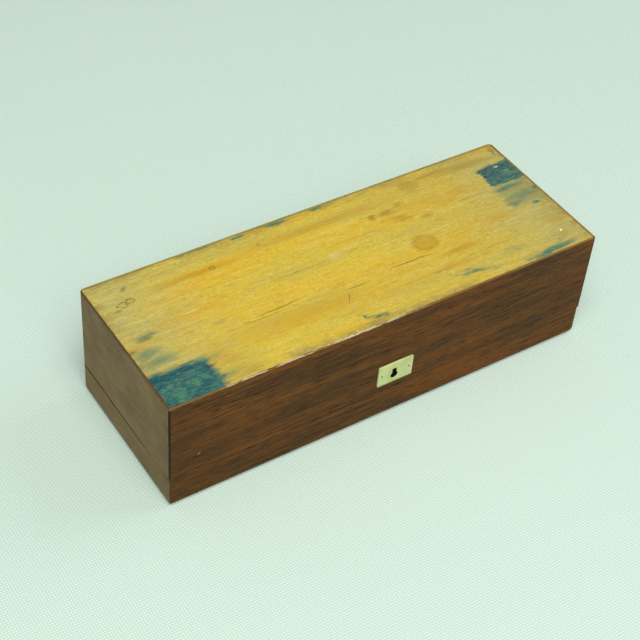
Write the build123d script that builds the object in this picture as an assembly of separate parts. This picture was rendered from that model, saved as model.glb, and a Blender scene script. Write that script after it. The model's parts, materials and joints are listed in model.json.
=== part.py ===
"""Small case of trial lenses, standing upside down on its lid.

Each piece is written to parts/NAME.step.  Millimetres, Z up.  X runs along the case,
-Y is the keyhole side, Z = 0 is the outer face of the lid and the raw underside of the
case is the uppermost face.
"""
import os
from math import radians, sqrt, tan

from build123d import *

# ---------------------------------------------------------------- overall sizes
LENGTH = 240.0              # over the ends
WIDTH = 87.0                # over the front and back
HEIGHT = 65.0               # lid face to raw underside
LID_DEPTH = 18.0            # lid face to the middle of the seam
SEAM_GAP = 0.3              # open joint between lid and case when shut

# ---------------------------------------------------------------- woodwork
WALL = 7.0                  # lid rails, and case walls with their veneer
VENEER = 1.0                # mahogany laid over the case carcase
BOTTOM_BOARD = 5.0          # raw softwood underside
LID_BOARD = 6.0             # solid mahogany lid top
LID_ARRIS = 3.6             # rounding of the lid's outer edge
BACK_CORNER = 2.5           # rounding of both back upright corners
CASE_RIGHT_CORNER = 1.0     # front right upright corner of the case; the left one is sharp
LID_RIGHT_CORNER = 2.2      # front right upright corner of the lid
LID_LEFT_CORNER = 0.8       # front left upright corner of the lid
PAD = 6.0                   # padded silk inside the lid
PAD_EDGE = 2.0              # rounding of the pad
LINING = 1.0                # paper-backed cloth on the case floor

# ---------------------------------------------------------------- lens rack
SLOTS = 20                  # slots in each of the two rows
COMPARTMENT = 67.0          # clear length of the end compartment
DIVIDER = 3.0               # board between rack and compartment
RAIL_HEIGHT = 30.0          # rails stand this high on the floor lining
DIVIDER_HEIGHT = 34.0
SLOT_DEPTH = 3.0            # how far a rim enters its slot
SIDE_WEB = 1.3              # wood left behind the outer slots
CENTRE_WEB = 2.0            # wood left between the two rows
SLOT_ROOM = 0.1             # between rim and slot bottom
SLOT_SIDE = 0.3             # between rim and slot side

# ---------------------------------------------------------------- lenses
RIM_THICK = 2.6             # along the optical axis
RIM_WIDTH = 2.4             # outer radius less clear radius
GROOVE_DEPTH = 0.8          # glazing groove in the rim
GROOVE_WIDE = 1.1
GLASS_BEVEL = 1.0           # edge of the glass lying in the groove
GLASS_ROOM = 0.1            # between glass and metal
GLASS_THIN = 1.1            # thinnest part of every glass
GLASS_INDEX = 1.52          # crown glass
TAB_WIDE = 6.0              # finger tab on each rim
TAB_THICK = 1.2
TAB_ROUND = 2.4
TAB_BITE = 1.2              # how deep the tab is soldered into the rim
TAB_CLEAR = 0.3             # between tab tip and lid pad
POWERS = (0.5, 1.0, 1.5, 2.0, 2.5, 3.0, 3.5, 4.0, 5.0, 6.0)     # dioptres, one pair each

# ---------------------------------------------------------------- hinges
HINGE_AT = 75.0             # each hinge's middle from the middle of the case
HINGE_LONG = 22.0
KNUCKLE_LONG = 8.0          # middle knuckle, on the case leaf
KNUCKLE = 1.4               # outer radius
HINGE_PIN = 0.6             # pin radius
PIN_RUNNING = 0.05          # radial play of the pin in the case knuckle
PIN_INSET = 0.8             # pin axis inside the back face
LEAF = 1.0                  # leaf thickness
LEAF_EDGE = 1.0             # wood left between leaf and inner face
RUN = 0.3                   # clearance round moving brass
BEVEL_ANGLE = 43.0          # back arrises bevelled so that the case stops past 90 degrees

# ---------------------------------------------------------------- lock
KEY_X = 1.8                 # key post along the case
KEY_DEPTH = 9.0             # key post from the middle of the seam
LOCK_LONG = 36.0
LOCK_TALL = 21.0            # case rim to far edge of the back plate
BRASS = 1.2                 # lock plate and link plate
CAP = 0.8
LOCK_BOX = 31.0             # clear length inside the lock
LOCK_BOX_TALL = 18.0
MECHANISM = 3.2             # clear width between back plate and cap
CAP_ROOM = 0.3              # between cap and wood
BOLT_THICK = 2.4
BOLT_LONG = 27.3
BOLT_TALL = 4.8
BOLT_START = -15.0          # unshot bolt's left end from the key post
BOLT_UNDER_RIM = 2.45       # bolt's edge below the case rim
PRONG = 1.3
HOOKS = (-7.0, 9.2)         # hook legs from the key post
HOOK_WIDE = 1.5
HOOK_THICK = 1.6
HOOK_TOE = 2.5
HOOK_REACH = 5.5            # hook tip beyond the middle of the seam
TOE_TALL = 1.2
HOOK_ROOM = 0.45
NOTCH_TALL = 3.5
UNDERCUT = 2.9
TALON_WIDE = 2.6
TALON_DEEP = 1.8
DRILL_PIN = 0.9
SPRING_BOW = 6.0
SPRING_THICK = 0.5
SPRING_AT = 9.5
SPRING_RISE = 3.3
CAP_FOOT = 1.0
CAP_FOOT_AT = 13.6

# ---------------------------------------------------------------- escutcheon
PLATE_X = 2.35              # middle of the bone plate along the case
PLATE_Z = 28.9
PLATE_LONG = 20.1
PLATE_TALL = 13.0
PLATE_THICK = 1.5
PLATE_PROUD = 0.6
PLATE_CORNER = 1.0
PLATE_PIN = 0.5
PLATE_PIN_AT = 7.9          # each pin from the middle of the plate
KEYHOLE = 2.0               # round part
KEYHOLE_SLOT = 2.5          # width of the bit slot
KEYHOLE_LONG = 4.2          # slot's end from the centre of the round part

# ---------------------------------------------------------------- screws
SCREW_HEAD = 1.3
SCREW_SHANK = 0.7
SCREW_LONG = 4.4
HINGE_SCREW_LONG = 6.5
SCREW_SLOT = 0.35
SCREW_AT = 1.7              # lock and link screws from the ends of their plates
HINGE_SCREW_STEP = 8.0

# ---------------------------------------------------------------- derived limits
END = LENGTH / 2
SIDE = WIDTH / 2
INNER_X = END - WALL
INNER_Y = SIDE - WALL
CARCASE_X = END - VENEER
CARCASE_Y = SIDE - VENEER
LID_RIM = LID_DEPTH - SEAM_GAP / 2
CASE_RIM = LID_DEPTH + SEAM_GAP / 2
FLOOR = HEIGHT - BOTTOM_BOARD
RACK_FLOOR = FLOOR - LINING
RACK_END = INNER_X - COMPARTMENT - DIVIDER
PITCH = (RACK_END + INNER_X) / SLOTS
RIM = (INNER_Y - CENTRE_WEB / 2 - SIDE_WEB - 2 * SLOT_ROOM) / 2
ROW_Y = CENTRE_WEB / 2 + SLOT_ROOM + RIM
LENS_Z = RACK_FLOOR - RIM
CLEAR = RIM - RIM_WIDTH
PIN_Y = SIDE - PIN_INSET
LEAF_INNER = INNER_Y + LEAF_EDGE
LEAF_OUTER = PIN_Y - KNUCKLE - RUN
KEY_Z = LID_DEPTH + KEY_DEPTH
BACK_PLATE = -INNER_Y - BRASS                   # front of the lock's back plate
CAP_Y = BACK_PLATE - MECHANISM                  # inner face of the lock's cap
POCKET_Y = CAP_Y - CAP - CAP_ROOM
HOOK_Y = BACK_PLATE - MECHANISM / 2


def block(x0, x1, y0, y1, z0, z1):
    """Rectangular block between the given limits."""
    return Pos((x0 + x1) / 2, (y0 + y1) / 2, (z0 + z1) / 2) * Box(x1 - x0, y1 - y0, z1 - z0)


def rod_x(radius, x0, x1, y, z):
    """Round rod lying along X."""
    return Pos((x0 + x1) / 2, y, z) * Rot(0, 90, 0) * Cylinder(radius, x1 - x0)


def rod_y(radius, y0, y1, x, z):
    """Round rod lying along Y."""
    return Pos(x, (y0 + y1) / 2, z) * Rot(90, 0, 0) * Cylinder(radius, y1 - y0)


def prism_x(points, x0, x1):
    """Solid of the given (y, z) outline, running along X."""
    outline = make_face(Plane.YZ * Polyline(*points, close=True))
    return Pos(x0, 0, 0) * extrude(outline, x1 - x0, dir=(1, 0, 0))


def prism_z(points, z0, z1):
    """Solid of the given (x, y) outline, standing along Z."""
    outline = make_face(Polyline(*points, close=True))
    return Pos(0, 0, z0) * extrude(outline, z1 - z0, dir=(0, 0, 1))


def save(name, *pieces):
    """Write one node, made of one or more separate solids."""
    solids = [solid for piece in pieces for solid in piece.solids()]
    shape = solids[0] if len(solids) == 1 else Compound(children=solids)
    export_step(shape, f"parts/{name}.step")


def screw_blank(length):
    """Countersunk screw without its slot, face at the origin, shank along -Z."""
    taper = SCREW_HEAD - SCREW_SHANK
    head = Pos(0, 0, -taper / 2) * Cone(SCREW_SHANK, SCREW_HEAD, taper)
    return head + Pos(0, 0, -length / 2) * Cylinder(SCREW_SHANK, length)


def screw(length):
    """Countersunk wood screw with its slot cut."""
    return screw_blank(length) - Box(3 * SCREW_HEAD, SCREW_SLOT, 2 * SCREW_SLOT)


def keyhole(y0, y1):
    """Keyhole passage between two depths, its bit slot pointing away from the lid."""
    passage = rod_y(KEYHOLE, y0, y1, KEY_X, KEY_Z)
    half = KEYHOLE_SLOT / 2
    return passage + block(KEY_X - half, KEY_X + half, y0, y1, KEY_Z, KEY_Z + KEYHOLE_LONG)


# ---------------------------------------------------------------- hinges
HINGES = (-HINGE_AT, HINGE_AT)
SCREW_STEPS = (-HINGE_SCREW_STEP, 0, HINGE_SCREW_STEP)
SCREW_Y = (LEAF_INNER + LEAF_OUTER) / 2


def leaf_block(middle, to_case, outer):
    """Flat of one leaf, let into the rim of the case or of the lid, out to the given depth."""
    near, far = (CASE_RIM, CASE_RIM + LEAF) if to_case else (LID_RIM - LEAF, LID_RIM)
    half = HINGE_LONG / 2
    return block(middle - half, middle + half, LEAF_INNER, outer, near, far)


def hinge_screws(make, middle, to_case):
    """The three screws of one leaf, or the blanks that cut their holes."""
    placed = []
    for step in SCREW_STEPS:
        spot = Pos(middle + step, SCREW_Y, CASE_RIM if to_case else LID_RIM)
        placed.append(spot * Rot(180 if to_case else 0, 0, 0) * make(HINGE_SCREW_LONG))
    return placed


def knuckle_room(middle):
    """Hollow cut out of the wood round the hinge barrel."""
    half = HINGE_LONG / 2 + RUN
    return rod_x(KNUCKLE + RUN, middle - half, middle + half, PIN_Y, LID_DEPTH)


def leaf(middle, to_case):
    """One hinge leaf: the case leaf has the middle knuckle, the lid leaf the outer two."""
    short = KNUCKLE_LONG / 2
    long = HINGE_LONG / 2
    spans = [(-short, short)] if to_case else [(-long, -short - RUN), (short + RUN, long)]
    bore = HINGE_PIN + (PIN_RUNNING if to_case else 0)
    near, far = (CASE_RIM, CASE_RIM + LEAF) if to_case else (LID_RIM - LEAF, LID_RIM)
    body = leaf_block(middle, to_case, LEAF_OUTER)
    for start, end in spans:
        body += rod_x(KNUCKLE, middle + start, middle + end, PIN_Y, LID_DEPTH)
        body += block(middle + start, middle + end, LEAF_OUTER, PIN_Y, near, far)
    body -= rod_x(bore, middle - long, middle + long, PIN_Y, LID_DEPTH)
    for blank in hinge_screws(screw_blank, middle, to_case):
        body -= blank
    return body


# ---------------------------------------------------------------- lock
LOCK_X0 = KEY_X - LOCK_LONG / 2
LOCK_X1 = KEY_X + LOCK_LONG / 2
BOX_X0 = KEY_X - LOCK_BOX / 2
BOX_X1 = KEY_X + LOCK_BOX / 2
SELVEDGE_SCREW_Y = (POCKET_Y - INNER_Y) / 2
BACK_SCREW_Z = CASE_RIM + LOCK_TALL - SCREW_AT
SELVEDGE_SCREWS = (LOCK_X0 + SCREW_AT, LOCK_X1 - SCREW_AT)


def lock_screws(make):
    """Two screws down through the selvedge and two through the back plate."""
    placed = []
    for x in SELVEDGE_SCREWS:
        placed.append(Pos(x, SELVEDGE_SCREW_Y, CASE_RIM) * Rot(180, 0, 0) * make(SCREW_LONG))
        placed.append(Pos(x, -INNER_Y, BACK_SCREW_Z) * Rot(-90, 0, 0) * make(SCREW_LONG))
    return placed


def link_screws(make):
    """Two screws of the link plate, driven into the lid."""
    return [Pos(x, SELVEDGE_SCREW_Y, LID_RIM) * make(SCREW_LONG) for x in SELVEDGE_SCREWS]


def lock_pocket():
    """Everything cut from the front wall for the lock."""
    room = block(LOCK_X0, LOCK_X1, POCKET_Y, -INNER_Y, CASE_RIM, CASE_RIM + BRASS)
    room += block(LOCK_X0, LOCK_X1, BACK_PLATE, -INNER_Y, CASE_RIM, CASE_RIM + LOCK_TALL)
    room += block(BOX_X0, BOX_X1, POCKET_Y, -INNER_Y, CASE_RIM, CASE_RIM + LOCK_BOX_TALL)
    return room


def lock_plate():
    """Selvedge in the rim and back plate against the inner face, bent from one piece."""
    body = block(LOCK_X0, LOCK_X1, POCKET_Y, -INNER_Y, CASE_RIM, CASE_RIM + BRASS)
    body += block(LOCK_X0, LOCK_X1, BACK_PLATE, -INNER_Y, CASE_RIM, CASE_RIM + LOCK_TALL)
    for hook in HOOKS:
        left = KEY_X + hook - HOOK_WIDE / 2 - HOOK_TOE - HOOK_ROOM
        right = KEY_X + hook + HOOK_WIDE / 2 + HOOK_ROOM
        body -= block(left, right, CAP_Y, BACK_PLATE, CASE_RIM - BRASS, CASE_RIM + 2 * BRASS)
    for blank in lock_screws(screw_blank):
        body -= blank
    return body


def lock_cap():
    """Cap over the works, standing on two feet, pierced for the key."""
    low = CASE_RIM + BRASS
    body = block(BOX_X0 + CAP_ROOM, BOX_X1 - CAP_ROOM, CAP_Y - CAP, CAP_Y, low,
                 CASE_RIM + LOCK_BOX_TALL - CAP_ROOM)
    body -= keyhole(CAP_Y - 2 * CAP, CAP_Y + CAP)
    foot_z = CASE_RIM + LOCK_BOX_TALL - CAP_ROOM - 2 * CAP_FOOT
    for way in (-1, 1):
        body += rod_y(CAP_FOOT, CAP_Y - CAP, BACK_PLATE, KEY_X + way * CAP_FOOT_AT, foot_z)
    return body


def lock_bolt():
    """Sliding bolt, notched for the link hooks and for the key."""
    near = CASE_RIM + BOLT_UNDER_RIM
    far = near + BOLT_TALL
    y0 = HOOK_Y - BOLT_THICK / 2
    y1 = HOOK_Y + BOLT_THICK / 2
    start = KEY_X + BOLT_START
    body = block(start, start + BOLT_LONG, y0, y1, near, far)
    for hook in HOOKS:
        left = KEY_X + hook - HOOK_WIDE / 2 - HOOK_TOE - HOOK_ROOM
        right = KEY_X + hook + HOOK_WIDE / 2 + HOOK_ROOM
        body -= block(left, right, y0, y1, near, near + NOTCH_TALL)
        body -= block(left - UNDERCUT, left, y0, y1, near + PRONG, near + NOTCH_TALL)
    half = TALON_WIDE / 2
    body -= block(KEY_X - half, KEY_X + half, y0, y1, far - TALON_DEEP, far)
    return body


def link_plate():
    """Plate in the lid's rim with two hooks that hang into the lock."""
    body = block(LOCK_X0, LOCK_X1, POCKET_Y, -INNER_Y - LEAF_EDGE, LID_RIM - BRASS, LID_RIM)
    tip = LID_DEPTH + HOOK_REACH
    y0 = HOOK_Y - HOOK_THICK / 2
    y1 = HOOK_Y + HOOK_THICK / 2
    for hook in HOOKS:
        left = KEY_X + hook - HOOK_WIDE / 2
        body += block(left, left + HOOK_WIDE, y0, y1, LID_RIM - BRASS / 2, tip)
        body += block(left - HOOK_TOE, left + HOOK_WIDE / 2, y0, y1, tip - TOE_TALL, tip)
    for blank in link_screws(screw_blank):
        body -= blank
    return body


def lock_spring():
    """Bowed strip bearing on the bolt's far edge."""
    low = CASE_RIM + BOLT_UNDER_RIM + BOLT_TALL + RUN
    x = KEY_X + SPRING_AT
    z = low + SPRING_BOW
    hoop = rod_y(SPRING_BOW, CAP_Y, BACK_PLATE, x, z)
    hoop -= rod_y(SPRING_BOW - SPRING_THICK, CAP_Y, BACK_PLATE, x, z)
    keep = block(x - SPRING_BOW, x + SPRING_BOW, CAP_Y, BACK_PLATE, low - RUN, low + SPRING_RISE)
    return hoop & keep


# ---------------------------------------------------------------- lenses
def rim_and_tab(x, y):
    """One lens mount: grooved ring with its finger tab hanging toward the lid."""
    ring = Cylinder(RIM, RIM_THICK) - Cylinder(CLEAR, RIM_THICK)
    ring -= Cylinder(CLEAR + GROOVE_DEPTH, GROOVE_WIDE)
    ring = Pos(x, y, LENS_Z) * Rot(0, 90, 0) * ring
    tip = LID_BOARD + PAD + TAB_CLEAR
    root = LENS_Z - RIM + TAB_BITE
    half = TAB_THICK / 2
    tab = block(x - half, x + half, y - TAB_WIDE / 2, y + TAB_WIDE / 2, tip, root)
    tab = fillet(tab.edges().filter_by(Axis.X).group_by(Axis.Z)[0], TAB_ROUND)
    return ring + tab


def glass(power, x, y):
    """Equal-faced glass of the given power, its bevelled edge lying in the groove."""
    bend = 2 * (GLASS_INDEX - 1) * 1000 / abs(power)
    radius = CLEAR - GLASS_ROOM
    edge_radius = CLEAR + GROOVE_DEPTH - GLASS_ROOM
    sag = bend - sqrt(bend**2 - radius**2)
    half_sag = bend - sqrt(bend**2 - radius**2 / 4)
    thin = GLASS_THIN / 2
    middle = thin + sag if power > 0 else thin
    edge = thin if power > 0 else thin + sag
    between = middle - half_sag if power > 0 else middle + half_sag
    lip = GLASS_BEVEL / 2
    face = ThreePointArc((0, middle), (radius / 2, between), (radius, edge))
    step = Polyline((radius, edge), (radius, lip), (edge_radius, lip), (edge_radius, -lip),
                    (radius, -lip), (radius, -edge))
    back = ThreePointArc((radius, -edge), (radius / 2, -between), (0, -middle))
    axis = Line((0, -middle), (0, middle))
    outline = make_face(Curve() + [face, step, back, axis])
    body = revolve(outline, Axis.Y, 360)
    return Pos(x, y, LENS_Z) * Rot(0, 0, 90) * body


def slot_x(index):
    """Middle of a slot along the case."""
    return -INNER_X + PITCH * (index + 0.5)


def slot_cuts(y0, y1):
    """Every slot of one rail face."""
    half = RIM_THICK / 2 + SLOT_SIDE
    top = RACK_FLOOR - RAIL_HEIGHT
    return [block(slot_x(i) - half, slot_x(i) + half, y0, y1, top, RACK_FLOOR)
            for i in range(SLOTS)]


def rack_rail(y0, y1, cuts):
    """Slotted rail of the lens rack."""
    body = block(-INNER_X, RACK_END, y0, y1, RACK_FLOOR - RAIL_HEIGHT, RACK_FLOOR)
    for cut in cuts:
        body -= cut
    return body


# ---------------------------------------------------------------- woodwork
def rounded_uprights(body, left, right):
    """Round the outer upright corners: front left, front right and both at the back."""
    corners = ((-END, -SIDE, left), (END, -SIDE, right),
               (-END, SIDE, BACK_CORNER), (END, SIDE, BACK_CORNER))
    for x, y, radius in corners:
        edges = [edge for edge in body.edges().filter_by(Axis.Z)
                 if abs(edge.center().X - x) < VENEER / 2 and abs(edge.center().Y - y) < VENEER / 2]
        if radius > 0:
            body = fillet(edges, radius)
    return body


def lid_board():
    """Solid lid top with worn, rounded outer edges."""
    body = block(-END, END, -SIDE, SIDE, 0, LID_BOARD)
    body = fillet(body.edges().group_by(Axis.Z)[0], LID_ARRIS)
    return rounded_uprights(body, LID_LEFT_CORNER, LID_RIGHT_CORNER)


def lid_rails():
    """Front, right, back and left rails of the lid, mitred at the corners."""
    whole = block(-END, END, -SIDE, SIDE, LID_BOARD, LID_RIM)
    whole = rounded_uprights(whole, LID_LEFT_CORNER, LID_RIGHT_CORNER) - back_bevel(LID_RIM, -1)
    signs = ((-1, -1), (1, -1), (1, 1), (-1, 1))
    outer = [(x * END, y * SIDE) for x, y in signs]
    inner = [(x * INNER_X, y * INNER_Y) for x, y in signs]
    rails = []
    for side in range(4):
        after = (side + 1) % 4
        mitred = prism_z([outer[side], outer[after], inner[after], inner[side]], LID_BOARD, LID_RIM)
        rails.append(whole & mitred)
    return rails


def back_bevel(z0, slope):
    """Wedge taken off a back arris so that the case can lean back."""
    reach = 2 * PIN_INSET
    rise = slope * reach * tan(radians(BEVEL_ANGLE))
    return prism_x([(PIN_Y, z0), (PIN_Y + reach, z0), (PIN_Y + reach, z0 + rise)], -END, END)


def build():
    """Make and write every piece."""
    os.makedirs("parts", exist_ok=True)

    # lid
    save("lid_board", lid_board())
    front_rail, right_rail, back_rail, left_rail = lid_rails()
    front_rail -= block(LOCK_X0, LOCK_X1, POCKET_Y, -INNER_Y - LEAF_EDGE, LID_RIM - BRASS, LID_RIM)
    for blank in link_screws(screw_blank):
        front_rail -= blank
    save("lid_front_rail", front_rail)
    for middle in HINGES:
        back_rail -= leaf_block(middle, False, PIN_Y)
        back_rail -= knuckle_room(middle)
        for blank in hinge_screws(screw_blank, middle, False):
            back_rail -= blank
    save("lid_back_rail", back_rail)
    save("lid_left_rail", left_rail)
    save("lid_right_rail", right_rail)
    pad = block(-INNER_X, INNER_X, -INNER_Y, INNER_Y, LID_BOARD, LID_BOARD + PAD)
    save("lid_pad", fillet(pad.faces().sort_by(Axis.Z)[-1].edges(), PAD_EDGE))
    save("link_plate", link_plate())
    save("link_plate_screws", *link_screws(screw))

    # case carcase
    save("case_bottom_board", block(-CARCASE_X, CARCASE_X, -CARCASE_Y, CARCASE_Y, FLOOR, HEIGHT))
    front_wall = block(-CARCASE_X, CARCASE_X, -CARCASE_Y, -INNER_Y, CASE_RIM, FLOOR)
    front_wall -= lock_pocket()
    front_wall -= keyhole(-SIDE, -INNER_Y)
    for blank in lock_screws(screw_blank):
        front_wall -= blank
    save("case_front_wall", front_wall)
    back_wall = block(-CARCASE_X, CARCASE_X, INNER_Y, CARCASE_Y, CASE_RIM, FLOOR)
    for middle in HINGES:
        back_wall -= leaf_block(middle, True, PIN_Y)
        back_wall -= knuckle_room(middle)
        for blank in hinge_screws(screw_blank, middle, True):
            back_wall -= blank
    save("case_back_wall", back_wall)
    save("case_left_wall", block(-CARCASE_X, -INNER_X, -INNER_Y, INNER_Y, CASE_RIM, FLOOR))
    save("case_right_wall", block(INNER_X, CARCASE_X, -INNER_Y, INNER_Y, CASE_RIM, FLOOR))

    # case veneers, cut to the case's rounded outline
    outline = rounded_uprights(block(-END, END, -SIDE, SIDE, 0, HEIGHT), 0, CASE_RIGHT_CORNER)
    plate = [PLATE_X - PLATE_LONG / 2, PLATE_X + PLATE_LONG / 2,
             -SIDE - PLATE_PROUD, -SIDE - PLATE_PROUD + PLATE_THICK,
             PLATE_Z - PLATE_TALL / 2, PLATE_Z + PLATE_TALL / 2]
    escutcheon = block(*plate)
    escutcheon = fillet(escutcheon.edges().filter_by(Axis.Y), PLATE_CORNER)
    front_veneer = block(-END, END, -SIDE, -CARCASE_Y, CASE_RIM, HEIGHT) & outline
    front_veneer -= escutcheon
    front_veneer -= keyhole(-SIDE, -CARCASE_Y)
    pins = []
    for way in (-1, 1):
        pins.append(rod_y(PLATE_PIN, -SIDE - PLATE_PROUD, -CARCASE_Y,
                          PLATE_X + way * PLATE_PIN_AT, PLATE_Z))
        front_veneer -= pins[-1]
        escutcheon -= pins[-1]
    escutcheon -= keyhole(-SIDE - PLATE_THICK, -CARCASE_Y)
    save("escutcheon", escutcheon)
    save("escutcheon_pins", *pins)
    save("case_front_veneer", front_veneer)
    back_veneer = block(-END, END, CARCASE_Y, SIDE, CASE_RIM, HEIGHT) & outline
    back_veneer -= back_bevel(CASE_RIM, 1)
    for middle in HINGES:
        back_veneer -= knuckle_room(middle)
    save("case_back_veneer", back_veneer)
    left_veneer = block(-END, -CARCASE_X, -CARCASE_Y, CARCASE_Y, CASE_RIM, HEIGHT)
    right_veneer = block(CARCASE_X, END, -CARCASE_Y, CARCASE_Y, CASE_RIM, HEIGHT)
    save("case_left_veneer", left_veneer & outline)
    save("case_right_veneer", right_veneer & outline)

    # hinges
    for side, middle in zip(("left", "right"), HINGES):
        save(f"hinge_{side}_case_leaf", leaf(middle, True))
        save(f"hinge_{side}_lid_leaf", leaf(middle, False))
    half = HINGE_LONG / 2
    save("hinge_pins", *[rod_x(HINGE_PIN, x - half, x + half, PIN_Y, LID_DEPTH) for x in HINGES])
    save("hinge_case_screws", *[s for x in HINGES for s in hinge_screws(screw, x, True)])
    save("hinge_lid_screws", *[s for x in HINGES for s in hinge_screws(screw, x, False)])

    # lock
    save("lock_plate", lock_plate())
    save("lock_cap", lock_cap())
    save("lock_bolt", lock_bolt())
    save("lock_spring", lock_spring())
    save("lock_drill_pin", rod_y(DRILL_PIN, CAP_Y, BACK_PLATE, KEY_X, KEY_Z))
    save("lock_screws", *lock_screws(screw))

    # rack
    save("floor_lining", block(-INNER_X, INNER_X, -INNER_Y, INNER_Y, RACK_FLOOR, FLOOR))
    deep = SIDE_WEB + SLOT_DEPTH
    centre = CENTRE_WEB / 2
    save("rack_front_rail", rack_rail(-INNER_Y, -INNER_Y + deep,
                                      slot_cuts(-INNER_Y + SIDE_WEB, -INNER_Y + deep)))
    save("rack_back_rail", rack_rail(INNER_Y - deep, INNER_Y,
                                     slot_cuts(INNER_Y - deep, INNER_Y - SIDE_WEB)))
    save("rack_centre_rail", rack_rail(-centre - SLOT_DEPTH, centre + SLOT_DEPTH,
                                       slot_cuts(-centre - SLOT_DEPTH, -centre)
                                       + slot_cuts(centre, centre + SLOT_DEPTH)))
    save("compartment_divider", block(RACK_END, RACK_END + DIVIDER, -INNER_Y, INNER_Y,
                                      RACK_FLOOR - DIVIDER_HEIGHT, RACK_FLOOR))

    # lenses, convex in the front row and concave in the back row
    convex = []
    concave = []
    for pair, power in enumerate(POWERS):
        places = [slot_x(2 * pair), slot_x(2 * pair + 1)]
        save(f"plus_pair_{pair + 1:02d}", *[rim_and_tab(x, -ROW_Y) for x in places])
        save(f"minus_pair_{pair + 1:02d}", *[rim_and_tab(x, ROW_Y) for x in places])
        convex += [glass(power, x, -ROW_Y) for x in places]
        concave += [glass(-power, x, ROW_Y) for x in places]
    save("convex_glasses", *convex)
    save("concave_glasses", *concave)


build()
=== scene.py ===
"""Looks of a small mahogany case of trial lenses, lying upside down on its lid.

Metres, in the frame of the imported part: X along the case, -Y the keyhole side, Z up.
"""

import json
import math

import bmesh
import bpy
import numpy as np
from mathutils import Matrix, Vector


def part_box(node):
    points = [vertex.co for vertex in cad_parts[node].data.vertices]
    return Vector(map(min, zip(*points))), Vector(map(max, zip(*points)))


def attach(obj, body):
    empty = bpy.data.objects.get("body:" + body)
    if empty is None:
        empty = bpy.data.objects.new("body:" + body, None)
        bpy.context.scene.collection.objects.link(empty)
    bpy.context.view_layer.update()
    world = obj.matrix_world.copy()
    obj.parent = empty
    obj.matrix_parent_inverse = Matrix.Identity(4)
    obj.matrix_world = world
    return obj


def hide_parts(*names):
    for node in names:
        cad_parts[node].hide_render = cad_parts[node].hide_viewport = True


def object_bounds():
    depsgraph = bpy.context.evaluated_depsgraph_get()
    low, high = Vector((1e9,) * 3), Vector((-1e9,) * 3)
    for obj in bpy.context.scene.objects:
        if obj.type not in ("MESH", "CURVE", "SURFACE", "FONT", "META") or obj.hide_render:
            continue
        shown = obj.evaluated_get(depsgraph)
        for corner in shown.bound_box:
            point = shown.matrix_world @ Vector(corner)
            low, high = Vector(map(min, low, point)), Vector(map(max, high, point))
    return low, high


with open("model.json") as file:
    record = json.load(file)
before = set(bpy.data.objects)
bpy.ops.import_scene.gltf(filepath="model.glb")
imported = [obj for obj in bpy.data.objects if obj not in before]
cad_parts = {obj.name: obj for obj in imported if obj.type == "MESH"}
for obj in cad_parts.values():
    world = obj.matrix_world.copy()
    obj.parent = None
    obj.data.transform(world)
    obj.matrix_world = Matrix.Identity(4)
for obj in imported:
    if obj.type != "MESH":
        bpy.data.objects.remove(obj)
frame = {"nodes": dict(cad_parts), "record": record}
CAD_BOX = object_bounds()

# ---------------------------------------------------------------- sizes, from the frame
MM = 0.001
LOW = np.array(CAD_BOX[0])
HIGH = np.array(CAD_BOX[1])
BOARD = np.array(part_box("case_bottom_board"))
FRONT_VENEER = np.array(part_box("case_front_veneer"))
TOP = HIGH[2]                                   # raw underside, uppermost as it lies
SEAM = (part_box("lid_front_rail")[1][2] + FRONT_VENEER[0][2]) / 2
END = FRONT_VENEER[1][0]
SIDE = -FRONT_VENEER[0][1]
DRILL_PIN = np.array(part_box("lock_drill_pin"))
KEY_X, KEY_Z = (DRILL_PIN[0] + DRILL_PIN[1])[[0, 2]] / 2
PLATE_FACE, PLATE_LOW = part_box("escutcheon")[0][1:]
HAZE_START = END - 5.0 * MM                     # the pale grey veil lies only outside this
HAZE_FULL = END - 3.6 * MM
GRAIN_BEND = 4 * MM                             # how far the grain wanders up and down
END_HAZE = 0.58                                 # how strong the pale grey veil is, 0 to 1
RACK_HAZE = 0.1


# ---------------------------------------------------------------- material building blocks
def shader(name, rough=0.5, metal=0.0, **sockets):
    """A new material; returns it with its node tree and its shader."""
    made = bpy.data.materials.new(name)
    made.use_nodes = True
    tree = made.node_tree
    principled = tree.nodes["Principled BSDF"]
    principled.inputs["Roughness"].default_value = rough
    principled.inputs["Metallic"].default_value = metal
    for key, value in sockets.items():
        principled.inputs[key.replace("_", " ")].default_value = value
    return made, tree, principled


def put(tree, kind, *values, **settings):
    """Adds a node, sets its properties and feeds its inputs in order (None skips one)."""
    made = tree.nodes.new("ShaderNode" + kind)
    for key, value in settings.items():
        setattr(made, key, value)
    for socket, value in zip(made.inputs, values):
        if isinstance(value, bpy.types.NodeSocket):
            tree.links.new(value, socket)
        elif value is not None:
            socket.default_value = value
    return made


def position(tree, scale=(1, 1, 1), start=None):
    """Place on the piece in metres, stretched by scale."""
    source = start or put(tree, "TexCoord").outputs["Object"]
    return put(tree, "Mapping", source, None, None, scale).outputs[0]


def noise(tree, where, scale=1.0, detail=3.0, rough=0.5):
    """Smooth noise from 0 to 1."""
    made = put(tree, "TexNoise", where)
    made.inputs["Scale"].default_value = scale
    made.inputs["Detail"].default_value = detail
    made.inputs["Roughness"].default_value = rough
    return made.outputs["Fac"]


def noise_vector(tree, where, scale):
    """Noise with three parts, for bending a pattern."""
    made = put(tree, "TexNoise", where)
    made.inputs["Scale"].default_value = scale
    made.inputs["Detail"].default_value = 2.0
    return made.outputs["Color"]


def span(tree, value, low, high, to_low=0.0, to_high=1.0):
    """Smooth step of a value between two limits."""
    made = put(tree, "MapRange", value, low, high, to_low, to_high)
    made.interpolation_type = "SMOOTHSTEP"
    return made.outputs[0]


def calc(tree, what, *values):
    """One arithmetic step."""
    return put(tree, "Math", *values, operation=what).outputs[0]


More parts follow.
